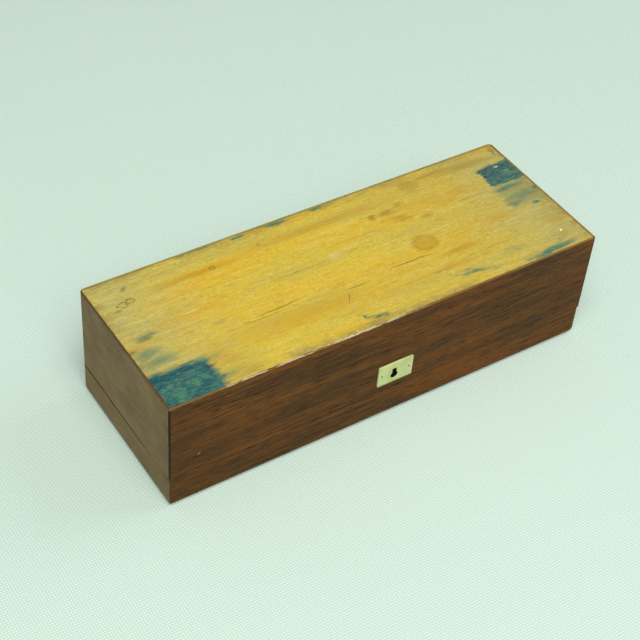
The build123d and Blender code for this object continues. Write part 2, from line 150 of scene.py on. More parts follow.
def vector(tree, what, *values):
    """One step of arithmetic on places or directions."""
    return put(tree, "VectorMath", *values, operation=what).outputs[0]


def length(tree, value):
    """Distance from nought."""
    return put(tree, "VectorMath", value, operation="LENGTH").outputs["Value"]


def product(tree, first, *others):
    """All the values multiplied."""
    for other in others:
        first = calc(tree, "MULTIPLY", first, other)
    return first


def ramp(tree, value, *stops):
    """Colour ramp through (place, (r, g, b)) stops."""
    made = put(tree, "ValToRGB", value)
    while len(made.color_ramp.elements) < len(stops):
        made.color_ramp.elements.new(0.5)
    for element, (place, colour) in zip(made.color_ramp.elements, stops):
        element.position = place
        element.color = (*colour, 1.0)
    return made.outputs[0]


def mixed(tree, share, under, over):
    """Colour mix of two colours or colour outputs."""
    made = tree.nodes.new("ShaderNodeMix")
    made.data_type = "RGBA"
    for place, value in ((0, share), (6, under), (7, over)):
        if isinstance(value, bpy.types.NodeSocket):
            tree.links.new(value, made.inputs[place])
        else:
            made.inputs[place].default_value = value if place == 0 else (*value, 1.0)
    return made.outputs[2]


def bumps(tree, principled, *layers):
    """Relief from (height, depth in metres) layers, one on top of another."""
    last = None
    for height, depth in layers:
        made = put(tree, "Bump")
        made.inputs["Distance"].default_value = depth
        tree.links.new(height, made.inputs["Height"])
        if last:
            tree.links.new(last, made.inputs["Normal"])
        last = made.outputs[0]
    tree.links.new(last, principled.inputs["Normal"])


def joined(tree, output, principled, socket):
    """Feeds an output into one of the shader's sockets."""
    tree.links.new(output, principled.inputs[socket])


# ---------------------------------------------------------------- finishes
def mahogany(name, along, haze, ends_only=False):
    """Old polished mahogany, its grain along X or Y; haze is how strong a pale grey veil over it is.

    The haze lies on the outer skin near the case's two ends, and with ends_only just on
    the faces that look along X.
    """
    made, tree, principled = shader(name, 0.45)
    wood = put(tree, "TexCoord").outputs["Object"]
    bend = vector(tree, "SUBTRACT", noise_vector(tree, wood, 11.0), (0.5, 0.5, 0.5))
    wood = vector(tree, "ADD", wood, vector(tree, "MULTIPLY", bend, (0.0, 0.0, GRAIN_BEND)))

    def grain(long, across):
        stretch = (long, across, across) if along == "X" else (across, long, across)
        return position(tree, stretch, wood)

    figure = noise(tree, grain(8, 210), 1.0, 4.0, 0.6)
    streak = noise(tree, grain(30, 1050), 1.0, 3.0, 0.62)
    pore = noise(tree, grain(110, 2300), 1.0, 3.0, 0.6)
    cloud = noise(tree, grain(17, 62), 1.0, 2.0, 0.5)
    tone = calc(tree, "MULTIPLY_ADD", figure, 0.4, calc(tree, "MULTIPLY", streak, 0.6))
    colour = ramp(tree, tone, (0.36, (0.045, 0.022, 0.007)), (0.46, (0.085, 0.036, 0.009)),
                  (0.53, (0.118, 0.047, 0.010)), (0.62, (0.175, 0.067, 0.011)))
    red_glow = span(tree, cloud, 0.50, 0.70, 0.0, 0.6)
    colour = mixed(tree, red_glow, colour, (0.185, 0.058, 0.008))
    dark_cloud = span(tree, cloud, 0.46, 0.30, 0.0, 0.35)
    colour = mixed(tree, dark_cloud, colour, (0.052, 0.028, 0.008))
    dark_pore = span(tree, pore, 0.47, 0.34)
    colour = mixed(tree, calc(tree, "MULTIPLY", dark_pore, 0.72), colour, (0.020, 0.010, 0.003))
    light_pore = span(tree, pore, 0.60, 0.72)
    colour = mixed(tree, calc(tree, "MULTIPLY", light_pore, 0.45), colour, (0.215, 0.095, 0.017))
    if haze:
        veil_mottle = noise(tree, position(tree, (60, 60, 60), wood), 1.0, 4.0, 0.65)
        veil = product(tree, span(tree, veil_mottle, 0.3, 0.75, 0.6, 1.0), haze)
        far = put(tree, "SeparateXYZ", vector(tree, "ABSOLUTE", wood)).outputs
        veil = product(tree, veil, span(tree, far[0], HAZE_START, HAZE_FULL))
        if ends_only:
            lead = calc(tree, "SUBTRACT", far[0], far[1])
            corner = END - SIDE
            veil = product(tree, veil, span(tree, lead, corner - 0.2 * MM, corner + 0.3 * MM))
        colour = mixed(tree, veil, colour, (0.330, 0.262, 0.130))
    # rubbed edges, and painted shade along the seam of the end pieces
    colour = edge_wear_and_seam_shade(tree, colour, haze and not ends_only)
    # painted shade on the keyhole's walls
    colour = keyhole_painted_shade(tree, front_wear(tree, colour), -SIDE + 0.3 * MM)
    joined(tree, colour, principled, "Base Color")
    gloss = span(tree, streak, 0.3, 0.75, 0.36 + 0.2 * haze, 0.60)
    joined(tree, gloss, principled, "Roughness")
    principled.inputs["Specular IOR Level"].default_value = 0.07
    relief = calc(tree, "SUBTRACT", streak, dark_pore)
    bumps(tree, principled, (relief, 0.15 * MM))
    return made


def ragged(tree, place, stretch=(160, 160, 500)):
    """Noise that frays the edge of a worn or dirty line."""
    return noise(tree, position(tree, stretch, place), 1.0, 4.0, 0.7)


def edge_wear_and_seam_shade(tree, colour, end_piece):
    """Rubbed upper edges, the dark corner line of a front piece, painted shade along the seam of an end."""
    place = put(tree, "TexCoord").outputs["Object"]
    x, y, z = put(tree, "SeparateXYZ", place).outputs
    uneven = calc(tree, "MULTIPLY_ADD", ragged(tree, place), 1.6 * MM, -0.8 * MM)
    frayed_z = calc(tree, "ADD", z, uneven)
    rub = span(tree, frayed_z, TOP - 0.8 * MM, TOP - 0.1 * MM, 0.0, 0.75)
    if end_piece:
        colour = mixed(tree, rub, colour, (0.075, 0.036, 0.013))
        right_end = product(tree, rub, span(tree, x, 0.0, MM))
        colour = mixed(tree, right_end, colour, (0.34, 0.21, 0.055))
        # painted shade: a near-black line along the seam between lid and case, deeper towards the back
        off_seam = calc(tree, "ABSOLUTE", calc(tree, "SUBTRACT", z, SEAM))
        seam = span(tree, off_seam, 0.9 * MM, 0.3 * MM)
        frayed_y = calc(tree, "MULTIPLY_ADD", uneven, 9.0, y)
        fading = span(tree, frayed_y, -34 * MM, 4 * MM, 0.15, 0.9)
        return mixed(tree, product(tree, seam, fading), colour, (0.016, 0.011, 0.006))
    depth = calc(tree, "ADD", calc(tree, "ADD", x, END), uneven)
    line = span(tree, depth, 1.0 * MM, 0.3 * MM)
    case_only = span(tree, calc(tree, "MULTIPLY_ADD", uneven, 8.0, z), SEAM - 2 * MM, SEAM + 6 * MM)
    front = span(tree, y, 0.0, -10 * MM)
    line = product(tree, line, case_only, front, 0.9)
    colour = mixed(tree, line, colour, (0.014, 0.010, 0.005))
    colour = mixed(tree, rub, colour, (0.26, 0.150, 0.042))
    behind = product(tree, rub, span(tree, y, 0.0, MM))
    return mixed(tree, behind, colour, (0.36, 0.31, 0.085))


def front_wear(tree, colour):
    """Pale chipped line on the upper front edge and one small pale nick low on the left."""
    place = put(tree, "TexCoord").outputs["Object"]
    x, y, z = put(tree, "SeparateXYZ", place).outputs
    uneven = calc(tree, "MULTIPLY_ADD", ragged(tree, place), 1.6 * MM, -0.8 * MM)
    chipped = span(tree, ragged(tree, place, (160, 700, 700)), 0.42, 0.56)
    brink = span(tree, calc(tree, "ADD", z, uneven), TOP - 0.5 * MM, TOP - 0.1 * MM)
    near_front = span(tree, y, -SIDE + 3 * MM, -SIDE + 1 * MM)
    stretch = product(tree, span(tree, x, -100 * MM, -85 * MM), span(tree, x, 20 * MM, 0.0))
    pale = product(tree, brink, chipped, near_front, stretch)
    colour = mixed(tree, pale, colour, (0.58, 0.50, 0.29))
    spot = put(tree, "Mapping", place, (-105 * MM, -SIDE, 29 * MM), (0, math.radians(-35), 0),
               (1.2 * MM, 4 * MM, 0.5 * MM), vector_type="TEXTURE").outputs[0]
    nick = product(tree, span(tree, length(tree, spot), 1.1, 0.6), 0.8)
    return mixed(tree, nick, colour, (0.36, 0.24, 0.10))


def keyhole_painted_shade(tree, colour, face):
    """Painted shade, near black, on the walls of the keyhole, from just behind the given face inwards."""
    place = put(tree, "TexCoord").outputs["Object"]
    spot = put(tree, "Mapping", place, (KEY_X, 0, KEY_Z + 1.1 * MM), (0, 0, 0),
               (3.0 * MM, 1.0, 4.2 * MM), vector_type="TEXTURE").outputs[0]
    aside = vector(tree, "MULTIPLY", spot, (1, 0, 1))
    near = span(tree, length(tree, aside), 1.1, 0.95)
    depth = put(tree, "SeparateXYZ", spot).outputs[1]
    behind = product(tree, span(tree, depth, face - 0.1 * MM, face + 0.1 * MM),
                     span(tree, depth, face + 12 * MM, face + 10 * MM))
    # painted shade: the keyhole's walls coloured near black
    return mixed(tree, product(tree, near, behind), colour, (0.006, 0.005, 0.004))


# Marks on the raw underside, in millimetres from its middle:
# (x, y, half length, half width, turn in degrees, softness, strength)
TEAL_PATCHES = [(-105.5, -33, 16.5, 12, 0, 0.22, 1.0), (109.5, 20.5, 11.5, 8.2, 0, 0.16, 0.95),
                (108.5, 4, 11.5, 10.5, 0, 0.30, 0.34)]
TEAL_STROKES = [(104, 9, 9, 2.5, 0, 0.9, 0.75), (109, 1, 9, 3.0, 0, 0.9, 0.6), (101, -3, 5, 2.2, 0, 0.9, 0.7),
                (-112, -9, 8, 3.6, 0, 0.9, 0.70), (-107, 2, 7, 1.6, 4, 0.9, 0.7),
                (-109, -15.5, 10, 3.2, 0, 0.9, 0.70), (-90, -24, 6, 2.4, 0, 0.9, 0.5),
                (-88, -37, 6, 2.4, 0, 0.9, 0.45), (97, -40.0, 14, 1.9, 2, 0.6, 1.0),
                (86, -41, 7, 1.4, 0, 0.8, 0.8), (103, -36.5, 4, 0.7, 20, 0.9, 0.6),
                (110.5, -7, 3, 1.0, -10, 0.7, 0.95), (52, -35, 12, 1.2, -6, 0.9, 0.85),
                (50, -32.5, 5, 0.7, -10, 0.9, 0.5), (62, -38, 5, 0.8, 5, 0.9, 0.5),
                (-12.5, -36, 3.6, 0.9, -42, 0.8, 0.95), (-6, -38.6, 6, 1.1, -8, 0.8, 1.0),
                (-37, 41, 3.4, 1.2, 0, 0.8, 1.0), (-14, 41, 7.5, 1.3, -4, 0.8, 1.0),
                (10, 41.2, 6, 0.9, 0, 0.8, 0.9), (-60, 42, 12, 0.6, 0, 0.9, 0.7),
                (35, -27, 3, 1.0, 0, 0.9, 0.4), (78, -30, 7, 2.4, 0, 0.9, 0.35),
                (-73, -7, 3, 1.4, 10, 0.9, 0.3)]
BROWN_MARKS = [(-102, 34, 2, 1.4, 30, 0.8, 0.7), (-104, 25, 4, 2.6, 0, 1.0, 0.3),
               (-111, 21.5, 2.4, 0.9, 0, 0.8, 0.6), (-109, 0, 5, 1.7, 5, 0.8, 0.75),
               (-118, -5, 2.2, 1.2, 0, 0.7, 0.8), (-58, 28, 1.2, 1.0, 0, 0.8, 0.6),
               (-31, 31.5, 1.3, 0.8, 0, 0.8, 0.5), (118, 3, 2.0, 1.6, 0, 0.7, 0.9),
               (116.5, 37, 1.4, 4, 0, 0.8, 0.6), (29.5, 22, 2.4, 2.0, 20, 0.7, 0.65),
               (38, 22, 5, 2.4, 0, 0.8, 0.55), (46.5, 24.5, 3.4, 1.8, 15, 0.8, 0.45),
               (55, 10.5, 4, 1.6, -10, 0.9, 0.5), (43, 15, 6, 3, -25, 1.0, 0.35),
               (60, 34, 5.2, 4, 10, 0.4, 0.30), (98, 34, 20, 3.0, 0, 1.0, 0.42),
               (-82, -38, 13, 4.5, 0, 1.0, 0.30), (-78, -30, 8, 3, 0, 1.0, 0.22),
               (76, 37, 14, 1.4, 0, 1.0, 0.4), (112, -20, 8, 12, 0, 1.0, 0.22),
               (-6, -40.5, 16, 1.6, 0, 1.0, 0.3), (108, -33, 6, 3, 0, 1.0, 0.3)]
RING_MARKS = [(-107, 24.5, 2.3, 1.8, 0.8), (-102.5, 25.5, 2.3, 1.6, 0.75), (42, -6, 6.3, 5.1, 0.26),
              (60, 34, 5.0, 3.8, 0.25), (47, 24, 3.4, 2.2, 0.22), (-58, 27.8, 1.6, 1.2, 0.6)]
AMBER_MARKS = [(42, -6, 6.4, 5.2, 0, 0.16, 0.60), (55, -18, 13, 2.0, 0, 0.9, 0.85),
               (-66, 27.5, 28, 2.4, 0, 0.9, 0.85), (0, 30, 55, 3.2, 0, 1.0, 0.60),
               (-35, -21, 50, 7.0, 0, 1.0, 0.5), (-84, -24, 9, 9, 0, 1.0, 0.4),
               (86, -8, 9, 3.5, 0, 1.0, 0.5), (-78, 4, 24, 8, 0, 1.0, 0.2),
               (70, 20, 26, 4, 0, 1.0, 0.4), (90, 36, 24, 2.0, 0, 1.0, 0.5), (20, -26, 40, 3, 0, 1.0, 0.4)]
CRACKS = [(-45, -11.2, 13, 0.30, 1.5, 0.8, 0.50), (-58, -13.4, 14, 0.25, 2, 0.9, 0.35),
          (27, -13.6, 12, 0.32, -2.5, 0.8, 0.60), (-12.5, -21, 3.6, 0.28, 62, 0.9, 0.40),
          (-4, -16, 8, 0.3, 0, 0.9, 0.4), (80, 12, 16, 0.22, 0, 0.9, 0.35),
          (-20, 6, 30, 0.2, 0.6, 0.9, 0.25), (70, -24, 12, 0.2, 0, 0.9, 0.3)]
PALE_MARKS = [(-83, 6, 4.4, 0.30, -2, 0.7, 0.5), (110, 25.5, 0.8, 0.5, 15, 0.6, 0.8),
              (108, -30.3, 1.0, 0.6, 30, 0.6, 1.0), (-2, 6.5, 4, 2.4, 0, 1.0, 0.15)]


def from_middle(tree, where, x, y, long, wide, turn):
    """How far a place lies along and across a mark's own axes, in its half sizes."""
    away = vector(tree, "SUBTRACT", where, (x * MM, y * MM, 0))
    ahead = np.array([math.cos(math.radians(turn)), math.sin(math.radians(turn)), 0])
    aside = np.array([-ahead[1], ahead[0], 0])
    return [put(tree, "VectorMath", away, way, operation="DOT_PRODUCT").outputs["Value"]
            for way in (ahead / (long * MM), aside / (wide * MM))]


def reached(tree, along, across):
    """Distance from a mark's middle, 1 at its edge."""
    square = calc(tree, "MULTIPLY_ADD", across, across, calc(tree, "MULTIPLY", along, along))
    return calc(tree, "SQRT", square)


def marks(tree, where, rows, square=False):
    """Share of the surface covered by a list of round or square marks."""
    total = None
    for x, y, long, wide, turn, soft, strength in rows:
        along, across = from_middle(tree, where, x, y, long, wide, turn)
        if square:
            reach = calc(tree, "SMOOTH_MAX", calc(tree, "ABSOLUTE", along),
                         calc(tree, "ABSOLUTE", across), 0.2)
        else:
            reach = reached(tree, along, across)
        cover = span(tree, reach, 1 + soft * 0.5, 1 - soft, 0.0, strength)
        total = cover if total is None else calc(tree, "MAXIMUM", total, cover)
    return total


def rings(tree, where, rows):
    """Share of the surface covered by ring marks (x, y, radius along, radius across, strength)."""
    total = None
    for x, y, long, wide, strength in rows:
        reach = reached(tree, *from_middle(tree, where, x, y, long, wide, 0))
        off = calc(tree, "ABSOLUTE", calc(tree, "SUBTRACT", reach, 1.0))
        cover = span(tree, off, 0.34, 0.06, 0.0, strength)
        total = cover if total is None else calc(tree, "MAXIMUM", total, cover)
    return total


def raw_board():
    """Raw softwood, yellowed and streaked, with scraps of its blue-green covering."""
    made, tree, principled = shader("raw_board", 0.7)
    principled.inputs["Specular IOR Level"].default_value = 0.2
    place = put(tree, "TexCoord").outputs["Object"]
    flat = vector(tree, "MULTIPLY", place, (1, 1, 0))
    wool = noise_vector(tree, position(tree, (150, 480, 480), place), 1.0)
    pull = vector(tree, "SUBTRACT", wool, (0.5, 0.5, 0.5))
    torn = vector(tree, "MULTIPLY", pull, (10 * MM, 4.5 * MM, 0))
    frayed = vector(tree, "ADD", flat, torn)
    soft = vector(tree, "MULTIPLY", pull, (5 * MM, 1.8 * MM, 0))
    close = vector(tree, "ADD", flat, soft)
    streak = noise(tree, position(tree, (24, 360, 360), place), 1.0, 4.0, 0.62)
    fibre = noise(tree, position(tree, (130, 1200, 1200), place), 1.0, 3.0, 0.65)
    speck = noise(tree, position(tree, (650, 900, 900), place), 1.0, 3.0, 0.7)
    crack = marks(tree, close, CRACKS)
    colour = aged_softwood(tree, place, streak, fibre, speck)
    colour = stained(tree, colour, close, speck)
    colour = mixed(tree, crack, colour, (0.11, 0.055, 0.010))
    colour = scraps_of_covering(tree, colour, place, frayed, fibre, speck)
    colour = mixed(tree, marks(tree, close, PALE_MARKS), colour, (0.85, 0.83, 0.60))
    joined(tree, colour, principled, "Base Color")
    joined(tree, span(tree, fibre, 0.3, 0.7, 0.60, 0.80), principled, "Roughness")
    grain = calc(tree, "ADD", fibre, streak)
    relief = calc(tree, "MULTIPLY_ADD", crack, -3.0, grain)
    bumps(tree, principled, (relief, 0.20 * MM), (speck, 0.10 * MM))
    return made


def aged_softwood(tree, place, streak, fibre, speck):
    """Yellow wood: orange in the middle, greyer to the right and the ends, with grime at the rim."""
    broad = noise(tree, position(tree, (10, 75, 75), place), 1.0, 3.0, 0.55)
    mottle = noise(tree, position(tree, (75, 150, 100), place), 1.0, 5.0, 0.7)
    colour = ramp(tree, broad, (0.30, (0.50, 0.39, 0.060)), (0.50, (0.61, 0.44, 0.042)),
                  (0.70, (0.66, 0.41, 0.022)))
    x, y, _ = put(tree, "SeparateXYZ", place).outputs
    muted = span(tree, x, -10 * MM, 90 * MM, 0.0, 0.62)
    colour = mixed(tree, muted, colour, (0.49, 0.365, 0.058))
    colour = mixed(tree, span(tree, mottle, 0.50, 0.70, 0.0, 0.42), colour, (0.44, 0.375, 0.110))
    far_x = calc(tree, "ABSOLUTE", x)
    far_y = calc(tree, "ABSOLUTE", y)
    patchy = span(tree, mottle, 0.3, 0.6, 0.55, 1.0)
    near_end = product(tree, span(tree, far_x, END - 58 * MM, END - 6 * MM), patchy)
    colour = mixed(tree, near_end, colour, (0.43, 0.375, 0.115))
    end_rim = span(tree, far_x, END - 10 * MM, END - 0.5 * MM)
    side_rim = span(tree, far_y, SIDE - 8 * MM, SIDE - 0.5 * MM)
    rim = calc(tree, "MAXIMUM", end_rim, side_rim)
    grime = product(tree, rim, span(tree, mottle, 0.40, 0.62, 0.10, 0.85))
    colour = mixed(tree, grime, colour, (0.29, 0.225, 0.060))
    for part, low, high, strength, tint in (
            (streak, 0.54, 0.70, 0.60, (0.54, 0.300, 0.020)),
            (streak, 0.46, 0.30, 0.42, (0.64, 0.53, 0.130)),
            (fibre, 0.54, 0.70, 0.45, (0.33, 0.215, 0.026)),
            (fibre, 0.45, 0.30, 0.32, (0.82, 0.69, 0.210)),
            (speck, 0.56, 0.72, 0.60, (0.30, 0.215, 0.050)),
            (speck, 0.42, 0.28, 0.45, (0.86, 0.76, 0.33))):
        colour = mixed(tree, span(tree, part, low, high, 0.0, strength), colour, tint)
    return colour


def stained(tree, colour, close, speck):
    """Amber and brown stains, thinner where the wood is specked."""
    worn = span(tree, speck, 0.35, 0.65, 1.0, 0.55)
    amber = product(tree, marks(tree, close, AMBER_MARKS), worn)
    colour = mixed(tree, amber, colour, (0.47, 0.225, 0.008))
    spots = marks(tree, close, BROWN_MARKS)
    brown = product(tree, calc(tree, "MAXIMUM", spots, rings(tree, close, RING_MARKS)), worn)
    return mixed(tree, brown, colour, (0.125, 0.075, 0.013))


def scraps_of_covering(tree, colour, place, frayed, fibre, speck):
    """Blue-green patches at two corners and green strokes of what has rubbed away."""
    flecks = span(tree, calc(tree, "MULTIPLY_ADD", speck, 0.4, fibre), 0.72, 0.92, 1.0, 0.62)
    patch = product(tree, marks(tree, frayed, TEAL_PATCHES, square=True), flecks)
    threads = span(tree, calc(tree, "MULTIPLY_ADD", speck, 0.5, fibre), 0.74, 1.02, 1.0, 0.25)
    stroke = product(tree, marks(tree, frayed, TEAL_STROKES), threads)
    cloudy = noise(tree, position(tree, (170, 340, 300), place), 1.0, 5.0, 0.7)
    teal = ramp(tree, cloudy, (0.36, (0.008, 0.058, 0.085)), (0.50, (0.020, 0.110, 0.105)),
                (0.68, (0.080, 0.230, 0.130)))
    green = mixed(tree, 0.5, teal, (0.085, 0.225, 0.105))
    colour = mixed(tree, stroke, colour, green)
    return mixed(tree, patch, colour, teal)


def softwood():
    """Plain carcase wood, seen only inside the case."""
    made, tree, principled = shader("carcase_softwood", 0.6)
    place = position(tree, (22, 300, 300))
    streak = noise(tree, place, 1.0, 4.0, 0.6)
    fibre = noise(tree, position(tree, (120, 2600, 2600)), 1.0, 2.0)
    colour = ramp(tree, streak, (0.3, (0.36, 0.235, 0.09)), (0.5, (0.47, 0.32, 0.13)),
                  (0.72, (0.56, 0.41, 0.19)))
    colour = mixed(tree, span(tree, fibre, 0.55, 0.75, 0.0, 0.5), colour, (0.26, 0.15, 0.05))
    # painted shade on the keyhole's walls
    colour = keyhole_painted_shade(tree, colour, -SIDE)
    joined(tree, colour, principled, "Base Color")
    joined(tree, span(tree, fibre, 0.3, 0.7, 0.5, 0.7), principled, "Roughness")
    bumps(tree, principled, (calc(tree, "ADD", fibre, streak), 0.12 * MM))
    return made


def bone():
    """Polished bone with fine pores and a greenish cast, with painted shade along its lower edge and in its
    keyhole.
    """
    made, tree, principled = shader("polished_bone", 0.35)
    cloud = noise(tree, position(tree, (160, 160, 90)), 1.0, 3.0, 0.55)
    pore = noise(tree, position(tree, (700, 700, 5200)), 1.0, 2.0)
    colour = ramp(tree, cloud, (0.3, (0.42, 0.47, 0.165)), (0.5, (0.52, 0.58, 0.225)),
                  (0.7, (0.60, 0.65, 0.30)))
    colour = mixed(tree, span(tree, pore, 0.62, 0.74, 0.0, 0.45), colour, (0.40, 0.36, 0.14))
    # painted shade: the plate darkened towards its lower edge
    height = put(tree, "SeparateXYZ", put(tree, "TexCoord").outputs["Object"]).outputs[2]
    lower_edge_shade = span(tree, height, PLATE_LOW + 1.2 * MM, PLATE_LOW + 0.2 * MM, 0.0, 0.7)
    colour = mixed(tree, lower_edge_shade, colour, (0.16, 0.14, 0.05))
    # painted shade on the keyhole's walls
    colour = keyhole_painted_shade(tree, colour, PLATE_FACE + 0.3 * MM)
    joined(tree, colour, principled, "Base Color")
    joined(tree, span(tree, cloud, 0.3, 0.7, 0.26, 0.44), principled, "Roughness")
    principled.inputs["Subsurface Weight"].default_value = 0.08
    principled.inputs["Subsurface Scale"].default_value = 2 * MM
    bumps(tree, principled, (pore, 0.03 * MM))
    return made


def metal(name, bright, dull, rough):
    """Aged metal: bright where it is rubbed, dull where it has tarnished."""
    made, tree, principled = shader(name, rough, 1.0)
    tarnish = noise(tree, position(tree, (260, 260, 260)), 1.0, 5.0, 0.62)
    fine = noise(tree, position(tree, (3200, 900, 3200)), 1.0, 2.0)
    colour = ramp(tree, tarnish, (0.34, dull), (0.62, bright))
    joined(tree, colour, principled, "Base Color")
    joined(tree, span(tree, tarnish, 0.3, 0.7, rough + 0.22, rough), principled, "Roughness")
    bumps(tree, principled, (fine, 0.01 * MM), (tarnish, 0.03 * MM))
    return made


def cloth(name, dark, light, sheen, weave):
    """Lining cloth with its weave, nap and a little wear."""
    made, tree, principled = shader(name, 0.85, Sheen_Weight=sheen, Sheen_Roughness=0.35)
    crush = noise(tree, position(tree, (70, 70, 70)), 1.0, 4.0, 0.6)
    thread = put(tree, "TexWave", position(tree, (weave, weave, weave)), bands_direction="X")
    thread.inputs["Distortion"].default_value = 1.2
    cross = put(tree, "TexWave", position(tree, (weave, weave, weave)), bands_direction="Y")
    cross.inputs["Distortion"].default_value = 1.2
    net = calc(tree, "MULTIPLY", thread.outputs["Fac"], cross.outputs["Fac"])
    tone = calc(tree, "ADD", calc(tree, "MULTIPLY", crush, 0.7), calc(tree, "MULTIPLY", net, 0.3))
    joined(tree, ramp(tree, tone, (0.25, dark), (0.75, light)), principled, "Base Color")
    joined(tree, span(tree, crush, 0.3, 0.7, 0.6, 0.9), principled, "Roughness")
    bumps(tree, principled, (net, 0.10 * MM), (crush, 0.30 * MM))
    return made


def lens_glass():
    """Old spectacle glass with a faint green cast and finger marks."""
    made, tree, principled = shader("lens_glass", 0.03, IOR=1.52, Transmission_Weight=1.0)
    smear = noise(tree, position(tree, (120, 120, 120)), 1.0, 4.0, 0.6)
    joined(tree, ramp(tree, smear, (0.3, (0.90, 0.965, 0.935)), (0.7, (0.95, 0.985, 0.965))),
           principled, "Base Color")
    joined(tree, span(tree, smear, 0.45, 0.75, 0.015, 0.10), principled, "Roughness")
    return made


def ink():
    """Black filling of the engraved numbers."""
    made, tree, principled = shader("number_black", 0.5)
    worn = noise(tree, position(tree, (1500, 1500, 1500)), 1.0, 3.0, 0.6)
    joined(tree, ramp(tree, worn, (0.35, (0.012, 0.011, 0.010)), (0.75, (0.05, 0.045, 0.035))),
           principled, "Base Color")
    joined(tree, span(tree, worn, 0.3, 0.7, 0.35, 0.7), principled, "Roughness")
    return made


def table_cloth():
    """Plain pale cloth under the case, with a fine even weave."""
    made, tree, principled = shader("table_cloth", 0.9)
    place = position(tree, (1, 1, 1))
    warp = put(tree, "TexWave", place, bands_direction="X")
    weft = put(tree, "TexWave", place, bands_direction="Y")
    for thread in (warp, weft):
        thread.inputs["Scale"].default_value = 235
        thread.inputs["Distortion"].default_value = 0.6
        thread.inputs["Detail Scale"].default_value = 40
    net = calc(tree, "MULTIPLY", warp.outputs["Fac"], weft.outputs["Fac"])
    cloud = noise(tree, position(tree, (3, 3, 3)), 1.0, 3.0)
    colour = ramp(tree, net, (0.0, (0.530, 0.662, 0.575)), (0.7, (0.740, 0.898, 0.785)))
    colour = mixed(tree, span(tree, cloud, 0.35, 0.65, 0.0, 0.10), colour, (0.72, 0.82, 0.77))
    joined(tree, colour, principled, "Base Color")
    bumps(tree, principled, (net, 0.15 * MM))
    return made


# ---------------------------------------------------------------- mesh building blocks
SAME_POINT = 0.002 * MM
FLAT_ANGLE = math.radians(0.6)
SHARP_ANGLE = math.radians(35)


def surface(name, points, faces, finish, smooth=True):
    """A new piece from arrays of points and of faces."""
    mesh = bpy.data.meshes.new(name)
    mesh.from_pydata(points.tolist(), [], faces)
    mesh.materials.append(finish)
    mesh.validate()
    mesh.shade_smooth() if smooth else mesh.shade_flat()
    piece = bpy.data.objects.new(name, mesh)
    bpy.context.collection.objects.link(piece)
    return piece


def belong(piece, body, slot, *nodes):
    """Puts a piece on its body and hides the nodes it stands for; slot is not used."""
    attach(piece, body)
    if nodes:
        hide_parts(*nodes)
    return piece


def quads(rows, columns, wrap_columns=False):
    """Faces of a grid numbered row by row; the last column may join the first."""
    reach = columns if wrap_columns else columns - 1
    row, column = np.meshgrid(np.arange(rows - 1), np.arange(reach), indexing="ij")
    after = (column + 1) % columns
    corners = [row * columns + column, row * columns + after,
               (row + 1) * columns + after, (row + 1) * columns + column]
    return np.stack([c.ravel() for c in corners], axis=1)


def ripples(points, wavelength, seed, waves=7):
    """Sum of plane waves in random directions: a gentle unevenness from -1 to 1."""
    draw = np.random.default_rng(seed)
    directions = draw.normal(size=(waves, 3))
    directions /= np.linalg.norm(directions, axis=1)[:, None]
    phases = draw.uniform(0, 2 * math.pi, waves)
    lengths = wavelength * draw.uniform(0.6, 1.6, waves)
    angle = points @ directions.T * (2 * math.pi / lengths) + phases
    return np.sin(angle).mean(axis=1) * math.sqrt(waves) / 2


def outline(half_y, half_z, round_edge, step):
    """Rounded rectangle: straight sides divided evenly and quarter circles at the corners.

    Returns its points and outward directions, going round from +Y towards +Z.
    """
    spots, ways = [], []
    turn = np.radians(np.linspace(0, 90, 6))
    for quarter, (sy, sz) in enumerate(((1, 1), (-1, 1), (-1, -1), (1, -1))):
        centre = np.array([sy * (half_y - round_edge), sz * (half_z - round_edge)])
        angle = turn + quarter * math.pi / 2
        way = np.stack([np.cos(angle), np.sin(angle)], axis=1)
        spots.append(centre + round_edge * way)
        ways.append(way)
        side = 2 * (half_y if quarter % 2 == 0 else half_z) - 2 * round_edge
        count = max(2, int(side / step))
        following = np.array([-way[-1][1], way[-1][0]])
        share = np.arange(1, count)[:, None] / count
        spots.append(spots[-1][-1] + following * side * share)
        ways.append(np.repeat(way[-1:], count - 1, axis=0))
    return np.concatenate(spots), np.concatenate(ways)


